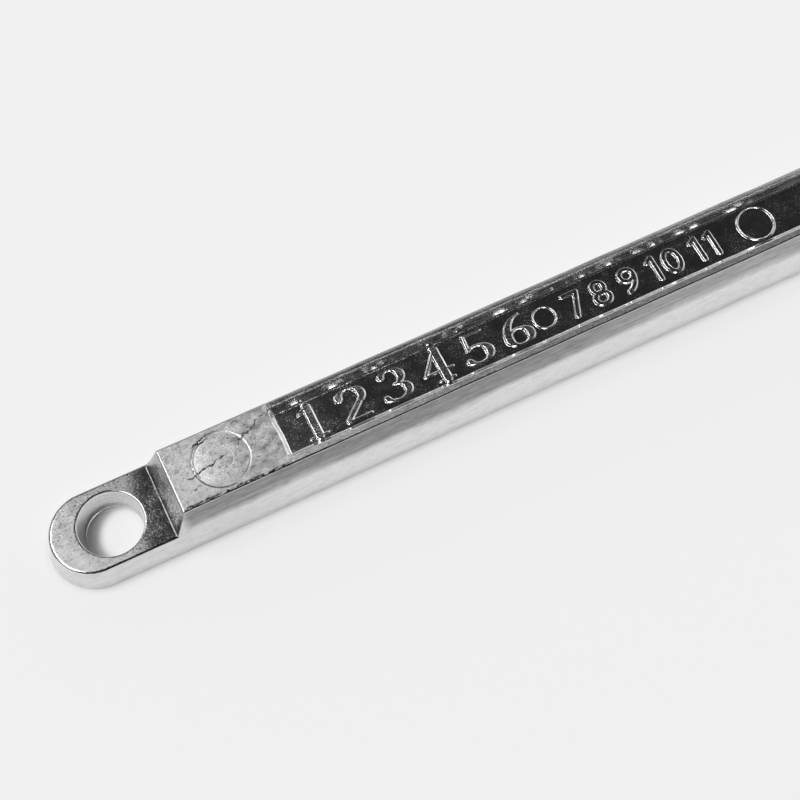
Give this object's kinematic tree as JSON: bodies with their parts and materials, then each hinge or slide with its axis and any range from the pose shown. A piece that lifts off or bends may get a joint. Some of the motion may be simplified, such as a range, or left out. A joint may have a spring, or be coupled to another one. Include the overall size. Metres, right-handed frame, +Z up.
{
  "type": "solder bar",
  "caption": "Cast bar of tin-lead solder with sloping sides, a long sunk channel along its top and a low rounded lug with a hanging eye at one end.",
  "frame": {"origin": "centre of the bar's base, on the floor", "axes": "+X along the bar from the hanging eye to the plain end, +Y across it, +Z up from the wide base to the channel"},
  "size_m": [0.33, 0.02, 0.014],
  "materials": {
    "cast_solder": "bright as-cast tin-lead alloy, smooth on the sides and in the channel, frosted on the pads"
  },
  "bodies": {
    "root": {"solder_bar": "cast_solder"}
  },
  "joints": []
}
